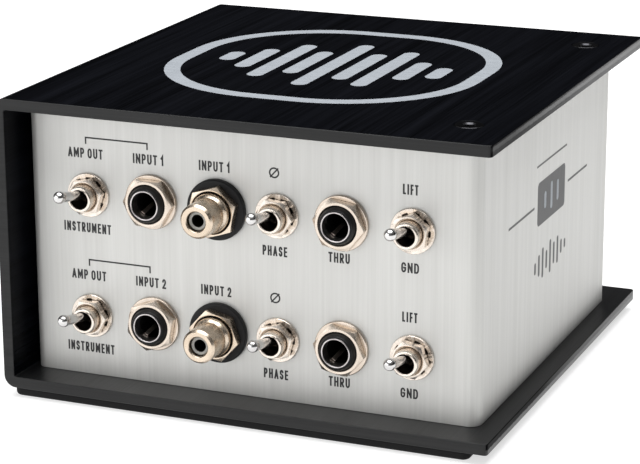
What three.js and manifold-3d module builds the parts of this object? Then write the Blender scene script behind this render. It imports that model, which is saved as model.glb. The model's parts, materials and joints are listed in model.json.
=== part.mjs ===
// Two-channel direct injection box: a folded sheet chassis that carries the controls, inside a wrap-round case
// on a rubber base pad. Millimetres, +Z up, front towards -Y. Origin: centre of the case's footprint,
// on the underside of the base pad.
import * as THREE from 'three';
import { mergeVertices } from 'three/addons/utils/BufferGeometryUtils.js';
import Module from 'manifold-3d';

const wasm = await Module();
wasm.setup();

// ---------------------------------------------------------------- driving dimensions
const CASE_W = 123.2, CASE_D = 122.8, CASE_H = 71.8; // wrap-round case, outside
const CASE_T = 2.8; // case plate
const CASE_R = 3.0; // outside bend radius at the left corners
const PAD_T = 2.6, PAD_R = 2.0; // rubber base pad
const PAD_LEFT = 1.6, PAD_RIGHT = 4.9, PAD_ENDS = 1.6; // pad edges inside the case edges
const FRONT_RECESS = 8.9, REAR_RECESS = 10.8, RIGHT_RECESS = 5.1, LEFT_GAP = 4.3; // chassis faces inside the case edges
const SHEET_T = 1.6, BEND_R = 3.0, RETURN_L = 12; // chassis sheet
const EDGE_GAP = 0.3; // chassis edge to case plate
const CLEAR = 0.3; // round piece in its hole
const SEAT = 0.05; // flat piece on its seat

// each nut as it happened to stop when tightened, degrees
const NUT_TURN = { input_jack_1: 0, input_jack_2: 20, thru_jack_1: -8, thru_jack_2: -10, phono_input_1: 18, phono_input_2: -12 };

// control columns from the case's left face, rows from the case's underside
const COL_SOURCE = 20.1, COL_INPUT = 36.6, COL_RCA = 53.6, COL_PHASE = 68.7, COL_THRU = 84.7, COL_LIFT = 102.0;
const ROW_TOP = 48.0, ROW_LOW = 17.9;

// toggle switch
const TG_BUSH_R = 3.15, TG_BUSH_L = 5.4, TG_BORE_R = 2.35, TG_BORE_DEEP = 6.0;
const TG_BODY = { w: 7.9, h: 13.2, d: 9.6 };
const TG_TILT = 11.8; // lever tilt at either end of its throw, degrees
const TG_LEVER_L = 16.35, TG_NECK_R = 1.0, TG_STEM_R = 1.25, TG_TIP_R = 1.5, TG_BALL_R = 2.1, TG_STUB_L = 3.6;
const TG_WASHER_R = 5.3, TG_WASHER_T = 0.7, TG_NUT_AF = 8.0, TG_NUT_FACE = 2.9;

// quarter-inch jack
const JK_NOSE_R = 4.7, JK_NOSE_L = 4.2, JK_NOSE_TAPER = 0.6, JK_BORE_R = 3.35, JK_BORE_DEEP = 22;
const JK_BODY = { w: 15.6, h: 15.4, d: 24 };
const JK_RING_RO = 3.6, JK_RING_RI = 3.24, JK_RING_L = 3.0;
const JK_WASHER_R = 6.65, JK_WASHER_T = 0.8, JK_NUT_AF = 11.0, JK_NUT_FACE = 3.3;

// phono socket
const RC_BARREL_R = 4.15, RC_BARREL_L = 12.0, RC_THREAD_R = 4.75, RC_THREAD_L = 4.6, RC_BORE_R = 2.55;
const RC_WASHER_R = 7.3, RC_WASHER_T = 1.5, RC_NUT_AF = 11.0, RC_NUT_FACE = 3.9, RC_FLANGE_R = 6.2;
const RC_CORE_R = 2.3, RC_CORE_HOLE_R = 1.5, RC_CORE_RECESS = 1.5;

// three-pin output connector on the rear
const XL_X = 27, XL_Z = 38.1, XL_FLANGE_W = 26, XL_FLANGE_H = 31, XL_FLANGE_T = 2.0;
const XL_TUBE_R = 11.2, XL_CAVITY_R = 9.5, XL_DEPTH = 15, XL_TUBE_L = 20, XL_HOLE_R = 11.6;
const XL_PIN_R = 1.2, XL_PINS = [[-4.7, 1.9], [4.7, 1.9], [0, -4.3]];

// countersunk case screws
const SCREW_X = 112.3, SCREW_Y = [16.6, 107.5], SCREW_HEAD_R = 3.4, SCREW_R = 1.4, SCREW_L = 8.0, SINK = 1.9;
const TAB_W = 9.4, TAB_L = 9.6;

// inside
const BOARD = { x0: -51, x1: 51, y0: -49.5, y1: 22, t: 1.6 };
const CAN_R = 13, CAN_H = 23, CAN_AT = [[-20, 4], [20, 4]];

// ---------------------------------------------------------------- derived places
const X0 = -CASE_W / 2, Y0 = -CASE_D / 2;
const PANEL_Y = Y0 + FRONT_RECESS, REAR_Y = Y0 + CASE_D - REAR_RECESS;
const CH_X0 = X0 + LEFT_GAP, CH_X1 = X0 + CASE_W - RIGHT_RECESS;
const CH_Z0 = PAD_T + CASE_T + EDGE_GAP, CH_Z1 = PAD_T + CASE_H - CASE_T - EDGE_GAP;
const TOP_Z = PAD_T + CASE_H;
const BOARD_Z = PAD_T + (ROW_TOP + ROW_LOW) / 2;
const REACH = (ROW_TOP - ROW_LOW) / 2 - BOARD.t / 2 - 0.2; // row axis to the end of a terminal at the board
const rad = (deg) => (deg * Math.PI) / 180;

// ---------------------------------------------------------------- solids
// A closed geometry as a solid, turned right side out if its profile ran the other way.
function solid(geometry) {
  let g = geometry.index ? geometry.toNonIndexed() : geometry.clone();
  g.deleteAttribute('normal');
  g.deleteAttribute('uv');
  g = mergeVertices(g, 1e-4);
  const p = g.attributes.position.array;
  const src = g.index.array;
  const tri = [];
  for (let i = 0; i < src.length; i += 3) {
    const [a, b, c] = [src[i], src[i + 1], src[i + 2]];
    if (a !== b && b !== c && a !== c) tri.push(a, b, c);
  }
  let vol = 0;
  for (let i = 0; i < tri.length; i += 3) {
    const [a, b, c] = [tri[i] * 3, tri[i + 1] * 3, tri[i + 2] * 3];
    vol += p[a] * (p[b + 1] * p[c + 2] - p[b + 2] * p[c + 1]) - p[a + 1] * (p[b] * p[c + 2] - p[b + 2] * p[c])
      + p[a + 2] * (p[b] * p[c + 1] - p[b + 1] * p[c]);
  }
  if (vol < 0) for (let i = 0; i < tri.length; i += 3) [tri[i + 1], tri[i + 2]] = [tri[i + 2], tri[i + 1]];
  return new wasm.Manifold(new wasm.Mesh({
    numProp: 3, vertProperties: Float32Array.from(p), triVerts: Uint32Array.from(tri),
  }));
}

function toGeometry(m) {
  const mesh = m.getMesh();
  const g = new THREE.BufferGeometry();
  g.setAttribute('position', new THREE.BufferAttribute(Float32Array.from(mesh.vertProperties), 3));
  g.setIndex(new THREE.BufferAttribute(Uint32Array.from(mesh.triVerts), 1));
  g.computeVertexNormals();
  return g;
}

const join = (first, ...rest) => rest.reduce((a, b) => a.add(b), first);
const cut = (first, ...rest) => rest.reduce((a, b) => a.subtract(b), first);

function block(x0, x1, y0, y1, z0, z1) {
  const g = new THREE.BoxGeometry(x1 - x0, y1 - y0, z1 - z0);
  g.translate((x0 + x1) / 2, (y0 + y1) / 2, (z0 + z1) / 2);
  return solid(g);
}

// Turned solid about the Y axis: profile [radius, distance out], out towards -Y.
function turned(profile, segments = 16, out = -1) {
  const pts = profile.map(([r, d]) => new THREE.Vector2(r, out * d));
  return solid(new THREE.LatheGeometry(pts, segments, Math.PI / segments));
}

const plug = (r, d0, d1, segments = 16, out = -1) => turned([[0, d0], [r, d0], [r, d1], [0, d1]], segments, out);
const ring = (ri, ro, d0, d1, segments = 16) => turned([[ri, d0], [ro, d0], [ro, d1], [ri, d1], [ri, d0]], segments);

// Flat outline in X and Z, given thickness along Y between two distances out of the face.
function slab(shape, d0, d1, out = -1, curve = 6) {
  const g = new THREE.ExtrudeGeometry(shape, { depth: d1 - d0, bevelEnabled: false, curveSegments: curve });
  g.translate(0, 0, d0);
  g.rotateX(Math.PI / 2);
  if (out > 0) g.scale(1, -1, 1);
  return solid(g);
}

function polygon(points) {
  return new THREE.Shape(points.map(([x, y]) => new THREE.Vector2(x, y)));
}

const arc = (cx, cy, r, a0, a1, n = 4) => Array.from({ length: n + 1 }, (_, i) => {
  const a = rad(a0 + ((a1 - a0) * i) / n);
  return [cx + r * Math.cos(a), cy + r * Math.sin(a)];
});

function roundedRect(w, h, r, n = 4) {
  const [x, y] = [w / 2 - r, h / 2 - r];
  return polygon([...arc(x, y, r, 0, 90, n), ...arc(-x, y, r, 90, 180, n), ...arc(-x, -y, r, 180, 270, n), ...arc(x, -y, r, 270, 360, n)]);
}

// Hexagon nut: flats across af, outer rim chamfered, round bore.
function nut(af, boreR, d0, d1, turn = 0) {
  const ro = af / Math.sqrt(3);
  const hex = Array.from({ length: 6 }, (_, i) => [ro * Math.cos(rad(60 * i + turn)), ro * Math.sin(rad(60 * i + turn))]);
  const rim = af / 2;
  const c = (ro - rim) * 0.75;
  const bevel = turned([[0, d0], [ro + 0.05, d0], [ro + 0.05, d1 - c], [rim + 0.1, d1], [0, d1]], 12);
  return cut(slab(polygon(hex), d0, d1).intersect(bevel), plug(boreR, d0 - 1, d1 + 1, 12));
}

// ---------------------------------------------------------------- scene graph
const box = new THREE.Group();
const finish = {
  black: () => new THREE.MeshStandardMaterial({ color: 0x0c0d12, roughness: 0.38, metalness: 0.75 }),
  silver: () => new THREE.MeshStandardMaterial({ color: 0xd4d4d0, roughness: 0.36, metalness: 1 }),
  rubber: () => new THREE.MeshStandardMaterial({ color: 0x101010, roughness: 0.85, metalness: 0 }),
  plastic: () => new THREE.MeshStandardMaterial({ color: 0x141416, roughness: 0.45, metalness: 0 }),
  chrome: () => new THREE.MeshStandardMaterial({ color: 0xe6e6e6, roughness: 0.1, metalness: 1 }),
  nickel: () => new THREE.MeshStandardMaterial({ color: 0xcfc2ac, roughness: 0.24, metalness: 1 }),
  cream: () => new THREE.MeshStandardMaterial({ color: 0xd8d8cc, roughness: 0.5, metalness: 0 }),
  board: () => new THREE.MeshStandardMaterial({ color: 0x0f4a2c, roughness: 0.5, metalness: 0 }),
  steel: () => new THREE.MeshStandardMaterial({ color: 0x8a8c8e, roughness: 0.4, metalness: 1 }),
};

function mesh(name, body, material, parent = box) {
  const m = new THREE.Mesh(toGeometry(body), material());
  m.name = name;
  parent.add(m);
  return m;
}

function at(x, y, z, parent = box) {
  const g = new THREE.Group();
  g.position.set(x, y, z);
  parent.add(g);
  return g;
}

// ---------------------------------------------------------------- wrap-round case
{
  const [l, r, b, t] = [X0, X0 + CASE_W, PAD_T, TOP_Z];
  const ri = 0.4;
  const outline = [
    [r, t], ...arc(l + CASE_R, t - CASE_R, CASE_R, 90, 180), ...arc(l + CASE_R, b + CASE_R, CASE_R, 180, 270), [r, b],
    [r, b + CASE_T], ...arc(l + CASE_T + ri, b + CASE_T + ri, ri, 270, 180, 2),
    ...arc(l + CASE_T + ri, t - CASE_T - ri, ri, 180, 90, 2), [r, t - CASE_T],
  ];
  let wrap = slab(polygon(outline), -CASE_D / 2, CASE_D / 2);
  for (const y of SCREW_Y) {
    const sink = turned([[0, -1], [SCREW_R + CLEAR, -1], [SCREW_R + CLEAR, CASE_T - SINK - 0.1], [SCREW_HEAD_R + CLEAR, CASE_T], [SCREW_HEAD_R + CLEAR, CASE_T + 1], [0, CASE_T + 1]], 16)
      .rotate([-90, 0, 0]).translate([X0 + SCREW_X, Y0 + y, TOP_Z - CASE_T]);
    wrap = wrap.subtract(sink);
  }
  mesh('case_wrap', wrap, finish.black);
}

// ---------------------------------------------------------------- rubber base pad
{
  const g = new THREE.ExtrudeGeometry(roundedRect(CASE_W - PAD_LEFT - PAD_RIGHT, CASE_D - 2 * PAD_ENDS, PAD_R), { depth: PAD_T, bevelEnabled: false });
  g.translate((PAD_LEFT - PAD_RIGHT) / 2, 0, 0);
  mesh('base_pad', solid(g), finish.rubber);
}

// ---------------------------------------------------------------- folded chassis
const controls = [];
for (const [n, row] of [[1, ROW_TOP], [2, ROW_LOW]]) {
  controls.push({ kind: 'toggle', name: `source_switch_${n}`, col: COL_SOURCE, row }, { kind: 'jack', name: `input_jack_${n}`, col: COL_INPUT, row },
    { kind: 'rca', name: `phono_input_${n}`, col: COL_RCA, row }, { kind: 'toggle', name: `phase_switch_${n}`, col: COL_PHASE, row },
    { kind: 'jack', name: `thru_jack_${n}`, col: COL_THRU, row }, { kind: 'toggle', name: `ground_switch_${n}`, col: COL_LIFT, row });
}

{
  const [x0, x1, y0, y1, R, t] = [CH_X0, CH_X1, PANEL_Y, REAR_Y, BEND_R, SHEET_T];
  const r = R - t;
  const outline = [
    [x0, y0 + RETURN_L], ...arc(x0 + R, y0 + R, R, 180, 270), ...arc(x1 - R, y0 + R, R, 270, 360), ...arc(x1 - R, y1 - R, R, 0, 90),
    ...arc(x0 + R, y1 - R, R, 90, 180), [x0, y1 - RETURN_L], [x0 + t, y1 - RETURN_L], ...arc(x0 + R, y1 - R, r, 180, 90, 3),
    ...arc(x1 - R, y1 - R, r, 90, 0, 3), ...arc(x1 - R, y0 + R, r, 0, -90, 3), ...arc(x0 + R, y0 + R, r, 270, 180, 3), [x0 + t, y0 + RETURN_L],
  ];
  const g = new THREE.ExtrudeGeometry(polygon(outline), { depth: CH_Z1 - CH_Z0, bevelEnabled: false });
  g.translate(0, 0, CH_Z0);
  let body = solid(g);
  // tabs folded in from the right wall, under the case screws
  for (const y of SCREW_Y) {
    const ym = Y0 + y;
    const yb = Math.min(ym + TAB_L / 2, REAR_Y - SHEET_T - 0.6);
    body = body.add(block(x1 - t - TAB_W, x1 - t / 2, yb - TAB_L, yb, CH_Z1 - t, CH_Z1));
    body = body.subtract(plug(SCREW_R + CLEAR, -4, 4, 12).rotate([-90, 0, 0]).translate([X0 + SCREW_X, ym, CH_Z1]));
  }
  const holeR = { toggle: TG_BUSH_R + CLEAR, jack: JK_NOSE_R + CLEAR, rca: RC_THREAD_R + 0.55 };
  for (const c of controls)
    body = body.subtract(plug(holeR[c.kind], -4, 2, 16).translate([X0 + c.col, PANEL_Y, PAD_T + c.row]));
  for (const s of [-1, 1]) body = body.subtract(plug(XL_HOLE_R, -2, 4, 24).translate([s * XL_X, REAR_Y, XL_Z]));
  mesh('chassis', body, finish.silver);
}

// ---------------------------------------------------------------- case screws, countersunk, hexagon recess
for (const [i, y] of SCREW_Y.entries()) {
  const hexR = 1.45;
  const hex = Array.from({ length: 6 }, (_, k) => [hexR * Math.cos(rad(60 * k)), hexR * Math.sin(rad(60 * k))]);
  const turnedScrew = turned([[0, -SCREW_L], [SCREW_R, -SCREW_L], [SCREW_R, -SINK + 0.1], [SCREW_HEAD_R, -0.15], [SCREW_HEAD_R, 0], [0, 0]], 16);
  const body = cut(turnedScrew, slab(polygon(hex), -1.3, 1)).rotate([-90, 0, 0]);
  mesh(`case_screw_${i + 1}`, body, finish.black, at(X0 + SCREW_X, Y0 + y, TOP_Z - 0.05));
}

// ---------------------------------------------------------------- toggle switch
function toggle(name, g, up) {
  const back = SHEET_T + SEAT;
  const b = TG_BODY;
  let body = join(block(-b.w / 2, b.w / 2, back, back + b.d, -b.h / 2, b.h / 2), plug(TG_BUSH_R, -back - 1, TG_BUSH_L, 16));
  // three terminals turned towards the board
  const s = up ? 1 : -1;
  for (const k of [-1, 0, 1]) {
    const y = back + b.d / 2 + k * 3.2;
    const [za, zb] = [s * (b.h / 2 - 0.5), s * REACH];
    body = body.add(block(-0.5, 0.5, y - 0.4, y + 0.4, Math.min(za, zb), Math.max(za, zb)));
  }
  body = cut(body, plug(TG_BORE_R, -TG_BORE_DEEP, TG_BUSH_L + 1, 16));
  mesh(`${name}_body`, body, finish.nickel, g);

  const teeth = 9;
  const inner = Array.from({ length: teeth * 2 }, (_, i) => {
    const a = rad((360 / (teeth * 2)) * i);
    const r = i % 2 ? TG_BUSH_R + 0.95 : TG_BUSH_R + CLEAR;
    return [r * Math.cos(a), r * Math.sin(a)];
  });
  const washer = cut(plug(TG_WASHER_R, SEAT, SEAT + TG_WASHER_T, 18), slab(polygon(inner), -1, 2));
  mesh(`${name}_lock_washer`, washer, finish.nickel, g);
  mesh(`${name}_nut`, nut(TG_NUT_AF, TG_BUSH_R + CLEAR, 2 * SEAT + TG_WASHER_T, TG_NUT_FACE, 30), finish.nickel, g);

  const q = TG_BALL_R;
  const profile = [[0, -TG_STUB_L], [0.8, -TG_STUB_L], [0.8, -1.95], [q * 0.77, -q * 0.64], [q, 0], [q * 0.77, q * 0.64], [TG_NECK_R, 1.85],
    [TG_NECK_R, 6.0], [TG_STEM_R, TG_LEVER_L - 2.5], ...[0, 30, 60].map((a) => [TG_TIP_R * Math.cos(rad(a)), TG_LEVER_L - TG_TIP_R * (1 - Math.sin(rad(a)))]), [0, TG_LEVER_L]];
  const lever = mesh(`${name}_lever`, turned(profile, 12), finish.chrome, g);
  lever.rotation.x = -rad(TG_TILT);
}

// ---------------------------------------------------------------- quarter-inch jack
function jack(name, g, up) {
  const back = SHEET_T + SEAT;
  const b = JK_BODY;
  const nose = turned([[0, -back - 1], [JK_NOSE_R, -back - 1], [JK_NOSE_R, JK_NOSE_L - 1.2], [JK_NOSE_R - JK_NOSE_TAPER, JK_NOSE_L], [0, JK_NOSE_L]], 20);
  let body = join(block(-b.w / 2, b.w / 2, back, back + b.d, -b.h / 2, b.h / 2), nose);
  const s = up ? 1 : -1;
  for (const [x, y] of [[-5.5, 5], [5.5, 5], [-5.5, 19], [5.5, 19]]) {
    const [za, zb] = [s * (b.h / 2 - 0.5), s * REACH];
    body = body.add(block(x - 0.5, x + 0.5, back + y - 0.5, back + y + 0.5, Math.min(za, zb), Math.max(za, zb)));
  }
  body = cut(body, plug(JK_BORE_R, -JK_BORE_DEEP, JK_NOSE_L + 1, 16), plug(JK_RING_RO + 0.25, JK_NOSE_L - JK_RING_L - 0.2, JK_NOSE_L + 1, 16));
  mesh(`${name}_body`, body, finish.plastic, g);
  mesh(`${name}_contact_ring`, ring(JK_RING_RI, JK_RING_RO, JK_NOSE_L - JK_RING_L, JK_NOSE_L + 0.15, 16), finish.chrome, g);
  mesh(`${name}_washer`, ring(JK_NOSE_R + CLEAR, JK_WASHER_R, SEAT, SEAT + JK_WASHER_T, 18), finish.nickel, g);
  mesh(`${name}_nut`, nut(JK_NUT_AF, JK_NOSE_R + CLEAR, 2 * SEAT + JK_WASHER_T, JK_NUT_FACE, NUT_TURN[name]), finish.nickel, g);
}

// ---------------------------------------------------------------- phono socket
function phono(name, g, up) {
  const s = up ? 1 : -1;
  const back = SHEET_T + 0.5;
  let barrel = turned([[0, -8], [4, -8], [4, -back - 1.4], [RC_FLANGE_R, -back - 1.4], [RC_FLANGE_R, -back], [RC_THREAD_R, -back], [RC_THREAD_R, RC_THREAD_L],
    [RC_BARREL_R, RC_THREAD_L], [RC_BARREL_R, RC_BARREL_L - 0.6], [RC_BARREL_R - 0.6, RC_BARREL_L], [0, RC_BARREL_L]], 18);
  const [za, zb] = [s * 5, s * REACH];
  barrel = barrel.add(block(-1.3, 1.3, back + 0.3, back + 1.1, Math.min(za, zb), Math.max(za, zb)));
  barrel = cut(barrel, plug(RC_BORE_R, -9, RC_BARREL_L + 1, 16));
  mesh(`${name}_barrel`, barrel, finish.nickel, g);
  const shoulder = turned([[RC_THREAD_R + 0.15, -SHEET_T + 0.2], [RC_THREAD_R + 0.4, -SHEET_T + 0.2], [RC_THREAD_R + 0.4, SEAT], [RC_WASHER_R, SEAT],
    [RC_WASHER_R, RC_WASHER_T], [RC_THREAD_R + 0.15, RC_WASHER_T], [RC_THREAD_R + 0.15, -SHEET_T + 0.2]], 18);
  mesh(`${name}_insulating_washer`, shoulder, finish.plastic, g);
  mesh(`${name}_nut`, nut(RC_NUT_AF, RC_THREAD_R + CLEAR, RC_WASHER_T + SEAT, RC_NUT_FACE, NUT_TURN[name]), finish.nickel, g);
  const core = turned([[0, -11], [RC_CORE_R, -11], [RC_CORE_R, RC_BARREL_L - RC_CORE_RECESS], [RC_CORE_HOLE_R, RC_BARREL_L - RC_CORE_RECESS], [RC_CORE_HOLE_R, 1], [0, 1]], 14);
  mesh(`${name}_centre_insulator`, core, finish.cream, g);
}

for (const c of controls) {
  const g = at(X0 + c.col, PANEL_Y, PAD_T + c.row);
  const towardsBoardUp = c.row === ROW_LOW;
  if (c.kind === 'toggle') toggle(c.name, g, towardsBoardUp);
  if (c.kind === 'jack') jack(c.name, g, towardsBoardUp);
  if (c.kind === 'rca') phono(c.name, g, towardsBoardUp);
}

// ---------------------------------------------------------------- circuit board and transformers
mesh('circuit_board', block(BOARD.x0, BOARD.x1, BOARD.y0, BOARD.y1, BOARD_Z - BOARD.t / 2, BOARD_Z + BOARD.t / 2), finish.board);
for (const [i, [x, y]] of CAN_AT.entries()) {
  const can = turned([[0, 0], [CAN_R, 0], [CAN_R, CAN_H - 1.2], [CAN_R - 1.2, CAN_H], [0, CAN_H]], 20).rotate([i ? 90 : -90, 0, 0]);
  mesh(`transformer_${i + 1}`, can, finish.steel, at(x, y, BOARD_Z + (i ? -1 : 1) * (BOARD.t / 2 + SEAT)));
}

// ---------------------------------------------------------------- rear output connectors
for (const [i, s] of [[1, -1], [2, 1]]) {
  const g = at(s * XL_X, REAR_Y, XL_Z);
  const flange = slab(roundedRect(XL_FLANGE_W, XL_FLANGE_H, 3, 3), SEAT, XL_FLANGE_T, 1);
  const tube = plug(XL_TUBE_R, -XL_TUBE_L, 1, 24, 1);
  const lip = plug(XL_TUBE_R - 0.4, 1, XL_FLANGE_T + 1.6, 24, 1);
  const shell = cut(join(flange, tube, lip), plug(XL_CAVITY_R, -XL_TUBE_L - 1, XL_FLANGE_T + 3, 24, 1));
  mesh(`output_connector_${i}_shell`, shell, finish.steel, g);
  let insert = plug(XL_CAVITY_R - CLEAR, -XL_TUBE_L - 1.5, -XL_DEPTH + 2, 20, 1);
  for (const [x, z] of XL_PINS) {
    const pin = turned([[0, -XL_TUBE_L - 5], [XL_PIN_R, -XL_TUBE_L - 5], [XL_PIN_R, 0.2], [XL_PIN_R * 0.45, 1.2], [0, 1.2]], 10, 1);
    insert = insert.add(pin.translate([x, 0, z]));
  }
  mesh(`output_connector_${i}_insert`, insert, finish.plastic, g);
}

export default box;
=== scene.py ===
import json
import math
import bpy
import bmesh
from mathutils import Matrix, Vector

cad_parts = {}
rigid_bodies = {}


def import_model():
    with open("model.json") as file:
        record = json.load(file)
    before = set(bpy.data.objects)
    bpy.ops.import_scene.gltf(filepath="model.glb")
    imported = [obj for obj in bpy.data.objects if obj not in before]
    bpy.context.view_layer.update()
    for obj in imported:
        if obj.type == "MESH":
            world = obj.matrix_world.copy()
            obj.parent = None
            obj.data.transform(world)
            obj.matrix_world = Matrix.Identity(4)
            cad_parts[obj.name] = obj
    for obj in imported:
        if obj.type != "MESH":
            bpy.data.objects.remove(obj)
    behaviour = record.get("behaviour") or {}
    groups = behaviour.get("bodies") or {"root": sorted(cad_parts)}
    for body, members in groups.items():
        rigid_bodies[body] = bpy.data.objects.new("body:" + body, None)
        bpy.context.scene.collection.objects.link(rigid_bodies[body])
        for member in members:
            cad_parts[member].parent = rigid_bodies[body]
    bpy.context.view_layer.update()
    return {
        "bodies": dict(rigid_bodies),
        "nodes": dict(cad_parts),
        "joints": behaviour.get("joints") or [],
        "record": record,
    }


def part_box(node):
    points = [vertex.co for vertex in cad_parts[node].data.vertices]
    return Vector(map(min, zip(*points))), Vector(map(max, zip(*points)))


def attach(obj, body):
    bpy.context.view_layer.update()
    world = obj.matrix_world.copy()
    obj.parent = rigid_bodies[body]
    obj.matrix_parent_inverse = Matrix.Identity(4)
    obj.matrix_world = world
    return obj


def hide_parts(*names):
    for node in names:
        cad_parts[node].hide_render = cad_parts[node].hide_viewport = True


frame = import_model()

MM = 0.001
rad = math.radians

# ------------------------------------------------------------------ places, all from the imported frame
CH_LO, CH_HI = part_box("chassis")
CW_LO, CW_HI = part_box("case_wrap")
PD_LO, PD_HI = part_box("base_pad")
PANEL = CH_LO.y / MM
REAR = CH_HI.y / MM
RIGHT = CH_HI.x / MM
TOP = CW_HI.z / MM - 0.02
PLATE = 2.8
SHEET = 1.6


def middle(node):
    lo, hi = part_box(node)
    return (lo + hi) / 2 / MM


# ------------------------------------------------------------------ node helpers
def new_material(name):
    m = bpy.data.materials.new(name)
    m.use_nodes = True
    nt = m.node_tree
    nt.nodes.clear()
    out = nt.nodes.new("ShaderNodeOutputMaterial")
    bsdf = nt.nodes.new("ShaderNodeBsdfPrincipled")
    nt.links.new(bsdf.outputs[0], out.inputs[0])
    return m, nt, bsdf


def coords(nt, scale):
    tc = nt.nodes.new("ShaderNodeTexCoord")
    mp = nt.nodes.new("ShaderNodeMapping")
    mp.inputs["Scale"].default_value = scale
    nt.links.new(tc.outputs["Object"], mp.inputs["Vector"])
    return mp.outputs["Vector"]


def noise(nt, scale, detail=4.0, rough=0.55, distortion=0.0):
    n = nt.nodes.new("ShaderNodeTexNoise")
    n.inputs["Scale"].default_value = 1.0
    n.inputs["Detail"].default_value = detail
    n.inputs["Roughness"].default_value = rough
    n.inputs["Distortion"].default_value = distortion
    nt.links.new(coords(nt, scale), n.inputs["Vector"])
    return n.outputs["Fac"]


def remap(nt, value, lo, hi, a, b):
    r = nt.nodes.new("ShaderNodeMapRange")
    r.inputs["From Min"].default_value = lo
    r.inputs["From Max"].default_value = hi
    r.inputs["To Min"].default_value = a
    r.inputs["To Max"].default_value = b
    nt.links.new(value, r.inputs["Value"])
    return r.outputs["Result"]


def mix_colour(nt, fac, c0, c1):
    m = nt.nodes.new("ShaderNodeMix")
    m.data_type = "RGBA"
    for sock, c in (("A", c0), ("B", c1)):
        s = [i for i in m.inputs if i.name == sock and i.type == "RGBA"][0]
        if hasattr(c, "is_linked"):
            nt.links.new(c, s)
        else:
            s.default_value = (*c, 1)
    nt.links.new(fac, [i for i in m.inputs if i.name == "Factor" and i.type == "VALUE"][0])
    return [o for o in m.outputs if o.type == "RGBA"][0]


def add(nt, a, b, op="ADD"):
    m = nt.nodes.new("ShaderNodeMath")
    m.operation = op
    nt.links.new(a, m.inputs[0])
    if hasattr(b, "is_linked"):
        nt.links.new(b, m.inputs[1])
    else:
        m.inputs[1].default_value = b
    return m.outputs[0]


def bump(nt, bsdf, height, strength, distance):
    b = nt.nodes.new("ShaderNodeBump")
    b.inputs["Strength"].default_value = strength
    b.inputs["Distance"].default_value = distance
    nt.links.new(height, b.inputs["Height"])
    nt.links.new(b.outputs["Normal"], bsdf.inputs["Normal"])
    return b


def grain_scale(axis, across, along):
    s = [across, across, across]
    s[axis] = along
    return tuple(s)


def brushed(name, dark, light, metallic, rough, axis, spread=0.08, depth=0.35, specular=0.5):
    """Metal drawn over an abrasive belt: long fine lines along one axis, at three widths, with faint broad patches."""
    m, nt, bsdf = new_material(name)
    fine = noise(nt, grain_scale(axis, 5200, 45), 3, 0.6)
    lines = noise(nt, grain_scale(axis, 1900, 22), 5, 0.62)
    broad = noise(nt, grain_scale(axis, 420, 9), 3, 0.5)
    patch = noise(nt, (26, 26, 26), 3, 0.5)
    tone = add(nt, add(nt, lines, 0.55, "MULTIPLY"), add(nt, broad, 0.45, "MULTIPLY"))
    bsdf_colour = mix_colour(nt, remap(nt, tone, 0.34, 0.66, 0, 1), dark, light)
    nt.links.new(bsdf_colour, bsdf.inputs["Base Color"])
    r = add(nt, add(nt, fine, 0.6, "MULTIPLY"), add(nt, patch, 0.4, "MULTIPLY"))
    nt.links.new(remap(nt, r, 0.3, 0.7, rough - spread, rough + spread), bsdf.inputs["Roughness"])
    h = add(nt, add(nt, fine, 0.5, "MULTIPLY"), add(nt, lines, 0.5, "MULTIPLY"))
    bump(nt, bsdf, h, depth, 0.00003)
    bsdf.inputs["Metallic"].default_value = metallic
    bsdf.inputs["Specular IOR Level"].default_value = specular
    return m


def painted_light(name, z_low, painted_bands, dark, light, front_reflection):
    """Cut edge of the sheet with painted light: a bright band of painted highlight and a near-black band of painted
    shade along it, and a painted reflection that makes it brighter towards the back.
    """
    m, nt, bsdf = new_material(name)
    lines = noise(nt, grain_scale(1, 2600, 60), 4, 0.6)
    nicks = noise(nt, (900, 900, 900), 4, 0.6)
    sep = nt.nodes.new("ShaderNodeSeparateXYZ")
    nt.links.new(coords(nt, (1000, 1000, 1000)), sep.inputs["Vector"])
    z = add(nt, sep.outputs["Z"], add(nt, remap(nt, nicks, 0.3, 0.7, -0.12, 0.12), 0.0))
    # bands across the height of the edge: painted highlight where bright, painted shade where near black
    ramp = nt.nodes.new("ShaderNodeValToRGB")
    e = ramp.color_ramp.elements
    e[0].position, e[0].color = painted_bands[0][0], (painted_bands[0][1],) * 3 + (1,)
    e[1].position, e[1].color = painted_bands[-1][0], (painted_bands[-1][1],) * 3 + (1,)
    for at, v in painted_bands[1:-1]:
        k = e.new(at)
        k.color = (v, v, v, 1)
    nt.links.new(remap(nt, z, z_low, z_low + 2.8, 0, 1), ramp.inputs["Fac"])
    # painted reflection: brighter towards the back, from the front level up to full, with a lower limit that also rises
    # towards the back
    back = remap(nt, sep.outputs["Y"], -45, 30, front_reflection, 1)
    floor = remap(nt, sep.outputs["Y"], -20, 50, 0.0, 0.45)
    fac = add(nt, add(nt, ramp.outputs["Color"], back, "MULTIPLY"), floor, "MAXIMUM")
    metal = mix_colour(nt, remap(nt, lines, 0.34, 0.66, 0, 1), dark, light)
    nt.links.new(mix_colour(nt, fac, (0.003, 0.003, 0.0035), metal), bsdf.inputs["Base Color"])
    nt.links.new(remap(nt, fac, 0, 1, 0.0, 0.75), bsdf.inputs["Metallic"])
    nt.links.new(remap(nt, lines, 0.3, 0.7, 0.26, 0.4), bsdf.inputs["Roughness"])
    nt.links.new(remap(nt, fac, 0, 1, 0.01, 0.4), bsdf.inputs["Specular IOR Level"])
    bump(nt, bsdf, lines, 0.4, 0.00003)
    return m


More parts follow.
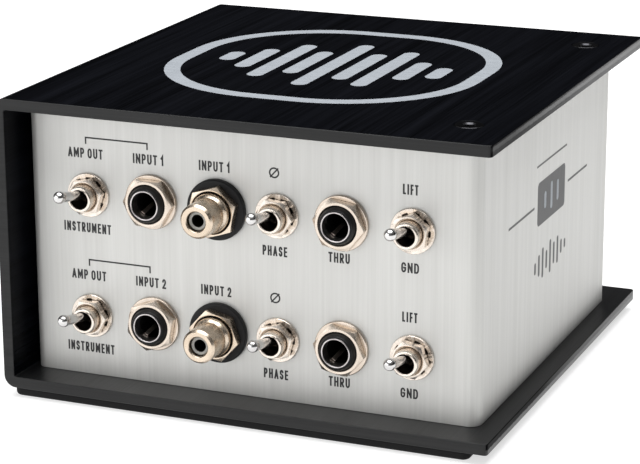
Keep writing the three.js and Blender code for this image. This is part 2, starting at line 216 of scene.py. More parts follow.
def plated(name, base, rough, tint=None, depth=0.12, speck=0.05):
    """Plated or turned metal: faint machining noise, small handling marks and a slow change of tone."""
    m, nt, bsdf = new_material(name)
    slow = noise(nt, (240, 240, 240), 3, 0.5)
    fine = noise(nt, (4200, 4200, 4200), 3, 0.6)
    marks = noise(nt, (900, 1500, 900), 6, 0.7, 0.6)
    other = tint or tuple(c * 0.86 for c in base)
    nt.links.new(mix_colour(nt, remap(nt, slow, 0.35, 0.65, 0, 1), base, other), bsdf.inputs["Base Color"])
    r = add(nt, add(nt, marks, 0.6, "MULTIPLY"), add(nt, fine, 0.4, "MULTIPLY"))
    nt.links.new(remap(nt, r, 0.35, 0.68, rough - speck * 0.6, rough + speck), bsdf.inputs["Roughness"])
    bump(nt, bsdf, add(nt, marks, fine), depth, 0.00002)
    bsdf.inputs["Metallic"].default_value = 1.0
    return m


def moulded(name, base, other, rough, grain=2600, depth=0.25, distance=0.00004, specular=0.5):
    """Moulded plastic or rubber: fine surface grain, slow tone change, darker where the grain is low."""
    m, nt, bsdf = new_material(name)
    g = noise(nt, (grain, grain, grain), 4, 0.6)
    slow = noise(nt, (90, 90, 90), 3, 0.5)
    t = add(nt, add(nt, g, 0.5, "MULTIPLY"), add(nt, slow, 0.5, "MULTIPLY"))
    nt.links.new(mix_colour(nt, remap(nt, t, 0.36, 0.64, 0, 1), base, other), bsdf.inputs["Base Color"])
    nt.links.new(remap(nt, t, 0.3, 0.7, rough - 0.07, rough + 0.07), bsdf.inputs["Roughness"])
    bump(nt, bsdf, g, depth, distance)
    bsdf.inputs["Specular IOR Level"].default_value = specular
    return m


def printed(name, base, other, rough=0.5):
    """Screen-printed ink: slightly uneven film with pinholes of tone."""
    m, nt, bsdf = new_material(name)
    g = noise(nt, (3000, 3000, 3000), 5, 0.7)
    slow = noise(nt, (160, 700, 160), 3, 0.5)
    t = add(nt, add(nt, g, 0.65, "MULTIPLY"), add(nt, slow, 0.35, "MULTIPLY"))
    nt.links.new(mix_colour(nt, remap(nt, t, 0.38, 0.66, 0, 1), base, other), bsdf.inputs["Base Color"])
    nt.links.new(remap(nt, g, 0.3, 0.7, rough - 0.06, rough + 0.06), bsdf.inputs["Roughness"])
    bump(nt, bsdf, g, 0.15, 0.00002)
    return m


MAT = {
    # case, case_side, case_edge and case_lip are one black anodised finish in four tones, given by face direction in
    # make_case: lit and shaded copies, painted light and shade
    "case": brushed("case black brushed", (0.0, 0.0001, 0.0004), (0.0050, 0.0055, 0.0078), 0.0, 0.30, 1, 0.06, 0.9, 0.028),
    "case_side": brushed("case black brushed side", (0.0024, 0.0026, 0.003), (0.008, 0.0083, 0.0095), 0.0, 0.42, 1, 0.07, 0.5, 0.16),
    "case_edge": brushed("case edge painted lighter", (0.0085, 0.0087, 0.009), (0.0185, 0.0187, 0.019), 0.1, 0.42, 0, 0.08, 0.4, 0.28),
    "silver": brushed("chassis brushed", (0.535, 0.533, 0.515), (0.605, 0.603, 0.585), 0.5, 0.46, 2, 0.06, 0.45),
    "case_lip": brushed("case black brushed lip", (0.004, 0.0042, 0.0046), (0.012, 0.0123, 0.013), 0.0, 0.36, 1, 0.06, 0.6, 0.42),
    # right-hand edges of the bottom and top plates: bands of painted highlight and painted shade, and a painted
    # reflection brighter towards the back
    "edge_low": painted_light("case sheared edge low", 2.6, ((0.0, 1.0), (0.44, 0.9), (0.52, 0.0), (1.0, 0.0)), (0.05, 0.05, 0.05), (0.13, 0.13, 0.13), 0.5),
    "edge_high": painted_light("case sheared edge high", 71.6, ((0.0, 0.12), (0.42, 0.2), (0.5, 1.0), (0.76, 0.9), (0.84, 0.0), (1.0, 0.0)), (0.045, 0.045, 0.045), (0.11, 0.11, 0.11), 0.12),
    "silver_edge": brushed("chassis cut edge", (0.42, 0.42, 0.41), (0.6, 0.6, 0.59), 0.8, 0.45, 0, 0.08, 0.4),
    "nickel": plated("nickel warm", (0.66, 0.575, 0.495), 0.2, (0.55, 0.47, 0.395)),
    "nickel_face": plated("nickel warm face", (0.70, 0.615, 0.53), 0.27, (0.61, 0.53, 0.45)),
    "nickel_pale": plated("nickel pale", (0.74, 0.67, 0.60), 0.26, (0.68, 0.61, 0.54)),
    "sleeve": plated("nickel sleeve", (0.80, 0.725, 0.65), 0.25, (0.73, 0.66, 0.585), 0.08, 0.05),
    "nickel_tan": plated("nickel tan", (0.71, 0.60, 0.485), 0.26, (0.62, 0.515, 0.405)),
    "chrome": plated("chrome", (0.70, 0.69, 0.68), 0.17, (0.58, 0.57, 0.565), 0.06, 0.05),
    # a lighter, fully metallic copy of the screw's black for the head rim and recess lead-in: painted highlight, so
    # these edges show glints
    "key": plated("screw rim painted lighter", (0.085, 0.085, 0.09), 0.22, (0.05, 0.05, 0.055), 0.3, 0.08),
    "ring": plated("contact ring plate", (0.62, 0.59, 0.585), 0.3, (0.52, 0.49, 0.485), 0.15, 0.06),
    "leaf": plated("contact leaf", (0.78, 0.70, 0.62), 0.3, (0.66, 0.58, 0.5), 0.15, 0.06),
    "nickel_shade": plated("nickel in shade", (0.075, 0.058, 0.045), 0.4, (0.05, 0.038, 0.03), 0.2, 0.06),
    "satin": plated("satin nickel", (0.50, 0.49, 0.47), 0.34, (0.42, 0.41, 0.40), 0.2, 0.08),
    "gold": plated("gold contact", (0.83, 0.62, 0.28), 0.22, (0.74, 0.53, 0.22)),
    "plastic": moulded("black moulded", (0.006, 0.006, 0.0065), (0.013, 0.0128, 0.0125), 0.45, 1800, 0.3, specular=0.28),
    # a darker black put inside bores and wells, darker than the parts they are cut in: painted shade
    "socket": moulded("black socket inside", (0.003, 0.003, 0.003), (0.007, 0.007, 0.007), 0.6, 1800, 0.3, specular=0.2),
    "fibre": moulded("black washer", (0.007, 0.0072, 0.008), (0.015, 0.0152, 0.016), 0.55, 2400, 0.4, specular=0.22),
    "rubber": moulded("pad rubber", (0.0035, 0.0035, 0.004), (0.0085, 0.0085, 0.009), 0.7, 1500, 0.7, 0.00008, 0.22),
    "cream": moulded("pale insulator", (0.29, 0.285, 0.265), (0.37, 0.365, 0.34), 0.42, 1500, 0.2),
    "screw": moulded("black oxide screw", (0.0008, 0.0008, 0.001), (0.003, 0.003, 0.0035), 0.24, 1600, 0.3, 0.00003, 0.12),
    "ink_black": printed("panel ink", (0.006, 0.006, 0.007), (0.016, 0.016, 0.017), 0.55),
    "ink_grey": printed("side ink", (0.045, 0.045, 0.046), (0.075, 0.075, 0.076)),
    "ink_light": printed("top ink", (0.29, 0.315, 0.345), (0.40, 0.43, 0.465), 0.6),
    "board": moulded("board mask", (0.006, 0.045, 0.020), (0.010, 0.070, 0.032), 0.35, 900, 0.2),
    "can": brushed("transformer can", (0.30, 0.30, 0.31), (0.42, 0.42, 0.43), 1.0, 0.34, 2, 0.07, 0.3),
    "steel": plated("plain steel", (0.45, 0.45, 0.46), 0.3),
}
MAT["screw"].node_tree.nodes["Principled BSDF"].inputs["Metallic"].default_value = 0.4

# ------------------------------------------------------------------ mesh helpers, in millimetres
def object_from(name, verts, faces, mats, face_mat=None):
    me = bpy.data.meshes.new(name)
    me.from_pydata([tuple(c * MM for c in v) for v in verts], [], faces)
    me.update()
    o = bpy.data.objects.new(name, me)
    bpy.context.scene.collection.objects.link(o)
    for m in mats if isinstance(mats, (list, tuple)) else [mats]:
        me.materials.append(m)
    if face_mat:
        me.polygons.foreach_set("material_index", face_mat)
    bm = bmesh.new()
    bm.from_mesh(me)
    bmesh.ops.remove_doubles(bm, verts=bm.verts, dist=1e-7)
    bmesh.ops.recalc_face_normals(bm, faces=bm.faces)
    bm.to_mesh(me)
    bm.free()
    return o


def soften(o, angle=32):
    """Smooth shading with hard edges kept above an angle."""
    bm = bmesh.new()
    bm.from_mesh(o.data)
    lim = rad(angle)
    for e in bm.edges:
        e.smooth = len(e.link_faces) == 2 and e.calc_face_angle(0) < lim
    for f in bm.faces:
        f.smooth = True
    bm.to_mesh(o.data)
    bm.free()
    return o


def level(o):
    """Keeps flat faces flat beside small bevels: normals weighted by face area."""
    w = o.modifiers.new("level", "WEIGHTED_NORMAL")
    w.mode = "FACE_AREA"
    w.weight = 80
    w.keep_sharp = True
    return bake(o)


def bake(o):
    """Applies the object's modifiers to its mesh."""
    dg = bpy.context.evaluated_depsgraph_get()
    dg.update()
    me = bpy.data.meshes.new_from_object(o.evaluated_get(dg))
    old = o.data
    o.modifiers.clear()
    o.data = me
    bpy.data.meshes.remove(old)
    return o


def bevel(o, width, segments=2, angle=32):
    b = o.modifiers.new("edge", "BEVEL")
    b.width = width * MM
    b.segments = segments
    b.limit_method = "ANGLE"
    b.angle_limit = rad(angle)
    b.use_clamp_overlap = True
    b.harden_normals = False
    return bake(o)


def boolean(o, cutter, op="DIFFERENCE"):
    b = o.modifiers.new("cut", "BOOLEAN")
    b.operation = op
    b.solver = "EXACT"
    b.object = cutter
    bake(o)
    bpy.data.objects.remove(cutter)
    return o


def done(o, name_slot, body, *nodes, angle=32, smooth=True, flat=False):
    if smooth:
        soften(o, angle)
        if flat:
            level(o)
    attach(o, body)
    if nodes:
        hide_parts(*nodes)
    return o


def arc(cx, cy, r, a0, a1, n):
    return [(cx + r * math.cos(rad(a0 + (a1 - a0) * i / n)), cy + r * math.sin(rad(a0 + (a1 - a0) * i / n))) for i in range(n + 1)]


def rounded(points, n=4):
    """Polyline [(x, y, fillet)] with each inside corner rounded."""
    out = []
    for i, p in enumerate(points):
        f = p[2] if len(p) > 2 else 0
        if i in (0, len(points) - 1) or not f:
            out.append((p[0], p[1]))
            continue
        a, b, c = (Vector(points[i + k][:2]) for k in (-1, 0, 1))
        u, v = (a - b), (c - b)
        half = u.angle(v) / 2
        t = min(f / math.tan(half), u.length * 0.49, v.length * 0.49)
        f = t * math.tan(half)
        u.normalize(); v.normalize()
        centre = b + (u + v).normalized() * (f / math.sin(half))
        s, e = b + u * t - centre, b + v * t - centre
        turn = s.angle_signed(e)
        for k in range(n + 1):
            w = s.copy()
            w.rotate(Matrix.Rotation(-turn * k / n, 2))
            out.append(tuple(centre + w))
    return out


def place(at, out):
    """Maps (radius direction a, b, distance d out of the face) to the row frame: axis -Y (out=-1) or +Y (out=1), or +Z (out=2), -Z (out=-2)."""
    x, y, z = at
    if abs(out) == 1:
        return lambda a, b, d: (x + a, y + out * d, z + b)
    s = 1 if out > 0 else -1
    return lambda a, b, d: (x + a, y + b, z + s * d)


def lathe(name, profile, at, mats, out=-1, seg=48, fillet=4, radius=None, tilt=0.0, mat_of=None):
    """Turned piece: profile [(r, d, fillet)] in order; radius(r, d, angle) may reshape it. A closed profile starts and ends alike."""
    pts = rounded(profile, fillet) if fillet else [(p[0], p[1]) for p in profile]
    closed = (Vector(profile[0][:2]) - Vector(profile[-1][:2])).length < 1e-6
    if closed:
        pts = pts[:-1]
    put = place(at, out)
    verts, faces, fm = [], [], []
    rows = []
    for r, d in pts:
        if r < 1e-6:
            rows.append([len(verts)] * seg)
            verts.append((0.0, 0.0, d))
        else:
            row = []
            for k in range(seg):
                a = 2 * math.pi * k / seg
                rr = radius(r, d, a) if radius else r
                row.append(len(verts))
                verts.append((rr * math.cos(a), rr * math.sin(a), d))
            rows.append(row)
    n = len(rows)
    for i in range(n if closed else n - 1):
        a, b = rows[i], rows[(i + 1) % n]
        for k in range(seg):
            f = [a[k], a[(k + 1) % seg], b[(k + 1) % seg], b[k]]
            f = [v for j, v in enumerate(f) if v not in f[:j]]
            if len(f) >= 3:
                faces.append(f)
                if mat_of:
                    (r0, d0), (r1, d1) = pts[i], pts[(i + 1) % n]
                    fm.append(mat_of((r0 + r1) / 2, (d0 + d1) / 2))
    if tilt:
        t = rad(tilt)
        verts = [(a, b * math.cos(t) + d * math.sin(t), d * math.cos(t) - b * math.sin(t)) for a, b, d in verts]
    return object_from(name, [put(*v) for v in verts], faces, mats, fm or None)


def polar(name, rings, at, mats, out=-1, seg=96, closed=True, phase=0.0):
    """Piece swept round its axis from functions of angle: rings is a list of f(angle) -> (r, d)."""
    put = place(at, out)
    verts, faces = [], []
    for f in rings:
        for k in range(seg):
            a = 2 * math.pi * k / seg + phase
            r, d = f(a)
            verts.append(put(r * math.cos(a), r * math.sin(a), d))
    n = len(rings)
    for i in range(n if closed else n - 1):
        j = (i + 1) % n
        for k in range(seg):
            q = (k + 1) % seg
            faces.append([i * seg + k, i * seg + q, j * seg + q, j * seg + k])
    return object_from(name, verts, faces, mats)


def hex_nut(name, at, af, bore, d0, d1, turn, mats, out=-1, crown=0.97, slope=30, lip=0.3):
    """Hexagon nut: flats, chamfered crown that leaves curved shoulders on the flats, countersunk bore."""
    half = af / 2
    rc = half * crown

    def flat(a):
        return half / math.cos(((a - rad(turn)) % rad(60)) - rad(30))

    drop = lambda a, k: (flat(a) * k + rc * (1 - k) - rc) * math.tan(rad(slope))
    rings = [
        lambda a: (bore, d0 + 0.15), lambda a: (bore + 0.15, d0),
        lambda a: (flat(a) - 0.12, d0), lambda a: (flat(a), d0 + 0.12),
        lambda a: (flat(a), d1 - drop(a, 1.0)),
        lambda a: (rc * 0.35 + flat(a) * 0.65, d1 - drop(a, 0.65)),
        lambda a: (rc + (flat(a) - rc) * 0.25, d1 - drop(a, 0.25)),
        lambda a: (rc, d1), lambda a: (min(rc - 0.02, bore + lip), d1),
        lambda a: (bore + lip * 0.5, d1 - lip * 0.35), lambda a: (bore, d1 - lip),
    ]
    return polar(name, rings, at, mats, out, seg=96, phase=rad(turn))


def box_piece(name, lo, hi, mats, edge=0.3, seg=2):
    (x0, y0, z0), (x1, y1, z1) = lo, hi
    v = [(x, y, z) for z in (z0, z1) for y in (y0, y1) for x in (x0, x1)]
    f = [(0, 1, 3, 2), (4, 6, 7, 5), (0, 4, 5, 1), (2, 3, 7, 6), (0, 2, 6, 4), (1, 5, 7, 3)]
    o = object_from(name, v, f, mats)
    return bevel(o, edge, seg) if edge else o


def joined(name, parts):
    """One object from several, materials kept."""
    bm = bmesh.new()
    me = bpy.data.meshes.new(name)
    mats = []
    for p in parts:
        remapped = []
        for m in p.data.materials:
            if m not in mats:
                mats.append(m)
            remapped.append(mats.index(m))
        start = len(bm.faces)
        bm.from_mesh(p.data)
        bm.faces.ensure_lookup_table()
        for f in bm.faces[start:]:
            f.material_index = remapped[f.material_index] if remapped else 0
    bm.to_mesh(me)
    bm.free()
    for m in mats:
        me.materials.append(m)
    o = bpy.data.objects.new(name, me)
    bpy.context.scene.collection.objects.link(o)
    for p in parts:
        bpy.data.objects.remove(p)
    return o


def prism(name, outline, axis, lo, hi, mats):
    """Flat outline extruded along an axis: axis 1 takes (x, z) points, axis 2 takes (x, y) points, axis 0 takes (y, z) points."""
    n = len(outline)
    put = {0: lambda p, t: (t, p[0], p[1]), 1: lambda p, t: (p[0], t, p[1]), 2: lambda p, t: (p[0], p[1], t)}[axis]
    verts = [put(p, lo) for p in outline] + [put(p, hi) for p in outline]
    faces = [list(range(n)), list(range(2 * n - 1, n - 1, -1))] + [[i, (i + 1) % n, n + (i + 1) % n, n + i] for i in range(n)]
    return object_from(name, verts, faces, mats)


# ------------------------------------------------------------------ wrap-round case
def make_case():
    l, r, b, t = CW_LO.x / MM, CW_HI.x / MM, CW_LO.z / MM, TOP
    f, k = CW_LO.y / MM, CW_HI.y / MM
    R, ri = 3.0, 0.5
    outline = [(r, t)] + arc(l + R, t - R, R, 90, 180, 14) + arc(l + R, b + R, R, 180, 270, 14) + [(r, b), (r, b + PLATE)] \
        + arc(l + PLATE + ri, b + PLATE + ri, ri, 270, 180, 4) + arc(l + PLATE + ri, t - PLATE - ri, ri, 180, 90, 4) + [(r, t - PLATE)]
    o = prism("case_shell", outline, 1, f, k, [MAT["case"], MAT["case_edge"], MAT["case_side"], MAT["edge_high"], MAT["edge_low"], MAT["case_lip"]])
    bm = bmesh.new()
    bm.from_mesh(o.data)
    corners = [e for e in bm.edges if all(abs(v.co.x - r * MM) < 1e-6 for v in e.verts) and abs(e.verts[0].co.y - e.verts[1].co.y) < 1e-7]
    bmesh.ops.bevel(bm, geom=corners, offset=0.9 * MM, segments=5, affect="EDGES", profile=0.5)
    bm.to_mesh(o.data)
    bm.free()
    bevel(o, 0.28, 3, 35)
    sinks = [middle(f"case_screw_{i}") for i in (1, 2)]
    for c in sinks:
        cutter = lathe("sink", [(0, -2), (1.7, -2), (1.7, -1.9), (3.6, -0.1), (3.75, 0.02), (3.75, 2), (0, 2)], (c.x, c.y, t), MAT["case"], out=2, seg=48, fillet=0)
        boolean(o, cutter)
    # each face takes a tone of the same black finish by its direction and height, as painted light and shade; the right
    # edges take the painted bands, and the countersink walls the darkest tone as painted shade
    for p in o.data.polygons:
        n = p.normal
        right_edge = n.x > 0.6 and p.center.x > (r - 3) * MM
        c, high = p.center / MM, p.center.z > (b + t) / 2 * MM
        sink = high and any((c.x - m.x) ** 2 + (c.y - m.y) ** 2 < 16 for m in sinks)
        lip = n.z > 0.7 and c.z < b + PLATE + 0.6
        p.material_index = 0 if sink else (3 if high else 4) if right_edge else 1 if abs(n.y) > 0.35 else 2 if n.x < -0.7 else 5 if lip else 0
    return done(o, "black_anodised", "root", "case_wrap", angle=28, flat=True)


make_case()


# ------------------------------------------------------------------ rubber base pad
def make_pad():
    x0, y0, x1, y1 = PD_LO.x / MM, PD_LO.y / MM, PD_HI.x / MM, PD_HI.y / MM
    R = 2.0
    outline = arc(x1 - R, y1 - R, R, 0, 90, 12) + arc(x0 + R, y1 - R, R, 90, 180, 12) + arc(x0 + R, y0 + R, R, 180, 270, 12) + arc(x1 - R, y0 + R, R, 270, 360, 12)
    o = prism("base_pad_rubber", outline, 2, PD_LO.z / MM, PD_HI.z / MM, MAT["rubber"])
    bevel(o, 0.95, 5, 40)
    return done(o, "rubber", "root", "base_pad", flat=True)


make_pad()


# ------------------------------------------------------------------ control names
TOGGLES = [f"{k}_switch_{n}" for n in (1, 2) for k in ("source", "phase", "ground")]
JACKS = [f"{k}_jack_{n}" for n in (1, 2) for k in ("input", "thru")]
PHONOS = ["phono_input_1", "phono_input_2"]
NUT_TURN = {"input_jack_1": 0, "input_jack_2": 20, "thru_jack_1": -8, "thru_jack_2": -10, "phono_input_1": 18, "phono_input_2": -12,
            "source_switch_1": 12, "phase_switch_1": -4, "ground_switch_1": 22, "source_switch_2": 2, "phase_switch_2": 16, "ground_switch_2": -10}


# ------------------------------------------------------------------ folded chassis
def make_chassis():
    x0, x1, y0, y1 = CH_LO.x / MM, CH_HI.x / MM, CH_LO.y / MM, CH_HI.y / MM
    z0, z1 = PD_HI.z / MM + PLATE + 0.03, TOP - PLATE - 0.03
    R, t = 3.0, SHEET
    r, L, RL = R - t, 12, 2.3
    outline = [(x0, y0 + L)] + arc(x0 + RL, y0 + RL, RL, 180, 270, 12) + arc(x1 - R, y0 + R, R, 270, 360, 12) + arc(x1 - R, y1 - R, R, 0, 90, 12) \
        + arc(x0 + R, y1 - R, R, 90, 180, 12) + [(x0, y1 - L), (x0 + t, y1 - L)] + arc(x0 + R, y1 - R, r, 180, 90, 8) \
        + arc(x1 - R, y1 - R, r, 90, 0, 8) + arc(x1 - R, y0 + R, r, 0, -90, 8) + arc(x0 + RL, y0 + RL, RL - t, 270, 180, 8) + [(x0 + t, y0 + L)]
    o = prism("chassis_sheet", outline, 2, z0, z1, [MAT["silver"], MAT["silver_edge"]])
    bevel(o, 0.12, 2, 50)
    tools = []
    for group, rr, suffix in ((TOGGLES, 3.4, "_nut"), (JACKS, 4.95, "_nut"), (PHONOS, 5.25, "_nut")):
        for n in group:
            c = middle(n + suffix)
            tools.append(lathe("hole", [(0, -3), (rr, -3), (rr, 1), (0, 1)], (c.x, y0, c.z), MAT["silver"], seg=40, fillet=0))
    for i in (1, 2):
        c = middle(f"output_connector_{i}_shell")
        tools.append(lathe("hole", [(0, -3), (11.5, -3), (11.5, 1), (0, 1)], (c.x, y1, c.z), MAT["silver"], out=1, seg=64, fillet=0))
    boolean(o, joined("holes", tools))
    for i in (1, 2):
        c = middle(f"case_screw_{i}")
        lo_y = max(c.y - 4.8, y0 + t + 0.5)
        hi_y = min(c.y + 4.8, y1 - t - 0.6)
        boolean(o, box_piece("tab", (x1 - t - 9.4, lo_y, z1 - t), (x1 - t / 2, hi_y, z1 - 0.05), MAT["silver"], 0), "UNION")
        boolean(o, lathe("hole", [(0, -4), (1.7, -4), (1.7, 2), (0, 2)], (c.x, c.y, z1), MAT["silver"], out=2, seg=24, fillet=0))
    for p in o.data.polygons:
        p.material_index = 1 if abs(p.normal.z) > 0.6 else 0
    return done(o, "brushed_aluminium", "root", "chassis", angle=25, flat=True)


make_chassis()


# ------------------------------------------------------------------ case screws: countersunk, hexagon recess
def make_screw(i):
    c = middle(f"case_screw_{i}")
    top = TOP - 0.05
    # the head rim and the recess lead-in take the lighter copy of the black: painted highlight
    body = lathe(f"case_screw_{i}_black", [(0, -8), (1.2, -8, 0.2), (1.4, -7.6), (1.4, -1.85, 0.1), (3.42, -0.3, 0.1), (3.42, -0.2), (3.22, -0.02), (2.2, 0.02), (0, 0.02)],
                 (c.x, c.y, top), [MAT["screw"], MAT["key"]], out=2, seg=64, mat_of=lambda r, d: 1 if r > 3.22 and d > -0.2 else 0)
    hexa = [(c.x + 1.5 * math.cos(rad(60 * k + 10)), c.y + 1.5 * math.sin(rad(60 * k + 10))) for k in range(6)]
    boolean(body, prism("key", hexa, 2, top - 1.35, top + 1, MAT["screw"]))
    boolean(body, lathe("lead", [(0, -0.34), (1.46, -0.34), (1.86, 0.06), (1.86, 1), (0, 1)], (c.x, c.y, top), MAT["key"], out=2, seg=48, fillet=0))
    bevel(body, 0.08, 2, 50)
    return done(body, "black_screw", "root", f"case_screw_{i}")


for i in (1, 2):
    make_screw(i)


# ------------------------------------------------------------------ toggle switches
def saw(x):
    x %= 1.0
    return 1 - abs(2 * x - 1)


def make_toggle(n):
    c = middle(n + "_nut")
    at = (c.x, PANEL, c.z)
    pitch, reach = 0.62, 5.4

    def thread(r, d, a):
        inside = 3.0 < r < 3.3 and 0.1 < d < 4.75
        return r - 0.04 * (1 - saw(d / pitch + a / (2 * math.pi))) * min(1, (4.8 - d) / 0.4) if inside else r

    rows = [(3.15, 0.15 + 0.1033 * k) for k in range(45)]
    profile = [(2.3, -2.7), (2.3, reach - 0.35), (2.34, reach - 0.14), (2.44, reach - 0.02), (2.56, reach), (2.86, reach - 0.02), (2.99, reach - 0.12), (3.06, reach - 0.4)] \
        + rows[::-1] + [(3.1, 0.1), (3.1, -2.7), (2.3, -2.7)]
    # the bore inside the bushing takes the dark nickel: painted shade
    bush = lathe(n + "_bush", profile, at, [MAT["sleeve"], MAT["nickel_shade"]], seg=56, fillet=0, radius=thread, mat_of=lambda r, d: 1 if r < 2.35 and d < reach - 0.6 else 0)
    soften(bush, 50)
    body = box_piece(n + "_box", (c.x - 3.95, PANEL + 1.65, c.z - 6.6), (c.x + 3.95, PANEL + 11.25, c.z + 6.6), MAT["plastic"], 0.5, 3)
    boolean(body, lathe("well", [(0, -6.1), (2.35, -6.1), (2.35, 0), (0, 0)], at, MAT["socket"], seg=40, fillet=0))
    soften(body, 35)
    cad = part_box(n + "_body")
    up = cad[1].z / MM > c.z + 8
    parts = [bush, body]
    for k in (-1, 0, 1):
        y = PANEL + 6.45 + 3.2 * k
        za, zb = (c.z + 6.3, cad[1].z / MM) if up else (cad[0].z / MM, c.z - 6.3)
        parts.append(box_piece("pin", (c.x - 0.5, y - 0.4, za), (c.x + 0.5, y + 0.4, zb), MAT["gold"], 0.1, 1))
    piece = joined(n + "_bushing", parts)
    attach(piece, "root"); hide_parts(n + "_body")

    teeth, wt = 9, 0.7

    def inner(a):
        u = (a / (2 * math.pi) * teeth + NUT_TURN[n] / 37) % 1
        gap = min(1, max(0, (0.5 - abs(u - 0.5) - 0.2) / 0.05))
        return 3.42 + 1.0 * gap, u

    def ring(d, which):
        def f(a):
            r, u = inner(a)
            twist = 0.05 * (2 * u - 1) * (1 if r < 4.0 else 0)
            return (r, d + twist) if which == "in" else (5.35 - (0.1 if which == "edge" else 0), d)
        return f
    washer = polar(n + "_lock_washer_ring", [ring(0.18, "in"), ring(0.05, "edge"), ring(0.17, "out"), ring(wt - 0.07, "out"), ring(wt + 0.03, "edge"), ring(wt - 0.1, "in")],
                   at, MAT["nickel_pale"], seg=216)
    done(washer, "nickel", "root", n + "_lock_washer", angle=35)
    # a dark ring of painted shade, seen between the teeth
    under = lathe(n + "_shadow_ring", [(3.3, 0.01), (4.95, 0.01), (4.95, 0.045), (3.3, 0.045), (3.3, 0.01)], at, MAT["nickel_shade"], seg=48, fillet=0)
    done(under, "black_plastic", "root", angle=30)

    nut = hex_nut(n + "_hex_nut", at, 8.0, 3.22, 0.86, 2.9, NUT_TURN[n], MAT["nickel_pale"], crown=0.985, slope=28, lip=0.42)
    done(nut, "nickel", "root", n + "_nut", angle=24, flat=True)

    # lever: ball in the bushing, slim neck, stem that thickens outwards, ball end
    R, mid = 1.45, 14.85
    tip = [(R * math.sin(rad(a)), mid + R * math.cos(rad(a))) for a in range(118, -1, -9)]
    tip[-1] = (0, mid + R)
    ball = [(2.1 * math.cos(rad(a)), 2.1 * math.sin(rad(a))) for a in range(-62, 60, 11)]
    profile = [(0, -3.6), (0.62, -3.6), (0.8, -3.4)] + [(0.82, -1.95)] + ball + [(1.02, 1.95), (1.0, 2.6), (0.99, 5.0), (1.05, 7.0), (1.13, 9.0), (1.19, 11.0), (1.23, 12.6), (1.23, 13.7)] + tip
    lever = lathe(n + "_bat", profile, at, MAT["chrome"], seg=44, fillet=0, tilt=11.8)
    done(lever, "chrome", n + "_lever", n + "_lever", angle=60)


for n in TOGGLES:
    make_toggle(n)


# ------------------------------------------------------------------ quarter-inch jacks
def make_jack(n):
    c = middle(n + "_nut")
    at = (c.x, PANEL, c.z)
    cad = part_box(n + "_body")
    up = cad[1].z / MM > c.z + 9
    pitch = 0.75

    def thread(r, d, a):
        return r - 0.16 * (1 - saw(d / pitch + a / (2 * math.pi))) if 4.6 < r < 4.75 and 0.0 < d < 2.6 else r

    rows = [(4.66, 0.05 + 0.125 * k) for k in range(21)]
    profile = [(3.35, -21.5), (3.35, 0.9), (3.66, 1.0), (3.66, 4.0), (3.72, 4.13), (3.84, 4.2), (3.98, 4.12), (4.15, 3.85), (4.36, 3.4), (4.5, 3.0), (4.58, 2.7)] + rows[::-1] + [(4.6, -0.1), (4.6, -2.0), (4.6, -21.5), (3.35, -21.5)]
    # the inside of the nose bore takes the darker black: painted shade
    nose = lathe(n + "_nose", profile, at, [MAT["plastic"], MAT["socket"]], seg=56, fillet=0, radius=thread, mat_of=lambda r, d: 1 if r < 3.6 and d < 3.7 else 0)
    soften(nose, 45)
    b = (7.8, 7.7, 24)
    body = box_piece(n + "_case", (c.x - b[0], PANEL + 1.65, c.z - b[1]), (c.x + b[0], PANEL + 25.65, c.z + b[1]), [MAT["plastic"], MAT["socket"]], 0.6, 3)
    boolean(body, lathe("well", [(0, -21.9), (4.65, -21.9), (4.65, 0), (0, 0)], at, MAT["plastic"], seg=40, fillet=0))
    parts = [nose, body]
    for x, y in ((-5.5, 5), (5.5, 5), (-5.5, 19), (5.5, 19)):
        za, zb = (c.z + 7.3, cad[1].z / MM) if up else (cad[0].z / MM, c.z - 7.3)
        parts.append(box_piece("pin", (c.x + x - 0.5, PANEL + 1.65 + y - 0.5, za), (c.x + x + 0.5, PANEL + 1.65 + y + 0.5, zb), MAT["gold"], 0.1, 1))
    piece = joined(n + "_moulding", parts)
    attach(piece, "root"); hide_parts(n + "_body")

    ring = lathe(n + "_ring", [(3.22, 1.25), (3.22, 4.2, 0.12), (3.40, 4.35, 0.12), (3.6, 4.22, 0.1), (3.6, 1.25), (3.22, 1.25)], at, MAT["ring"], seg=64, fillet=4)
    done(ring, "chrome", "root", n + "_contact_ring", angle=40)

    washer = lathe(n + "_flat_washer", [(4.75, 0.06), (6.60, 0.06, 0.15), (6.65, 0.5, 0.25), (6.5, 0.85, 0.22), (4.95, 0.85, 0.05), (4.75, 0.7), (4.75, 0.06)], at, MAT["nickel"], seg=72, fillet=4)
    done(washer, "nickel", "root", n + "_washer", angle=40)

    nut = hex_nut(n + "_hex_nut", at, 11.0, 4.7, 0.9, 3.0, NUT_TURN[n], MAT["nickel_face"], crown=0.985, slope=30, lip=0.16)
    done(nut, "nickel", "root", n + "_nut", angle=24, flat=True)

    # the tip contact, a bent leaf low in the bore
    w, pts = 0.5, [(-2.9, 1.6), (-2.35, 0.2), (-1.6, -1.4), (-1.3, -2.2), (-1.6, -3.2), (-2.6, -6.5), (-3.0, -11)]
    tang = [(pts[min(i + 1, 6)][0] - pts[max(i - 1, 0)][0], pts[min(i + 1, 6)][1] - pts[max(i - 1, 0)][1]) for i in range(7)]
    verts, faces = [], []
    cs, sn = math.cos(rad(-32)), math.sin(rad(-32))
    for (h, d), (th, td) in zip(pts, tang):
        L = math.hypot(th, td)
        nh, nd = -td / L * 0.1, th / L * 0.1
        for sx in (-w, w):
            for k in (-1, 1):
                lx, lz = sx, h + nh * k
                verts.append((c.x + lx * cs - lz * sn, PANEL - (d + nd * k), c.z + lx * sn + lz * cs))
    for i in range(6):
        a, b2 = 4 * i, 4 * i + 4
        for p, q in ((0, 1), (1, 3), (3, 2), (2, 0)):
            faces.append([a + p, a + q, b2 + q, b2 + p])
    faces += [[0, 1, 3, 2], [24, 26, 27, 25]]
    leaf = object_from(n + "_tip_contact", verts, faces, MAT["leaf"])
    done(leaf, "chrome", "root", angle=50)


for n in JACKS:
    make_jack(n)


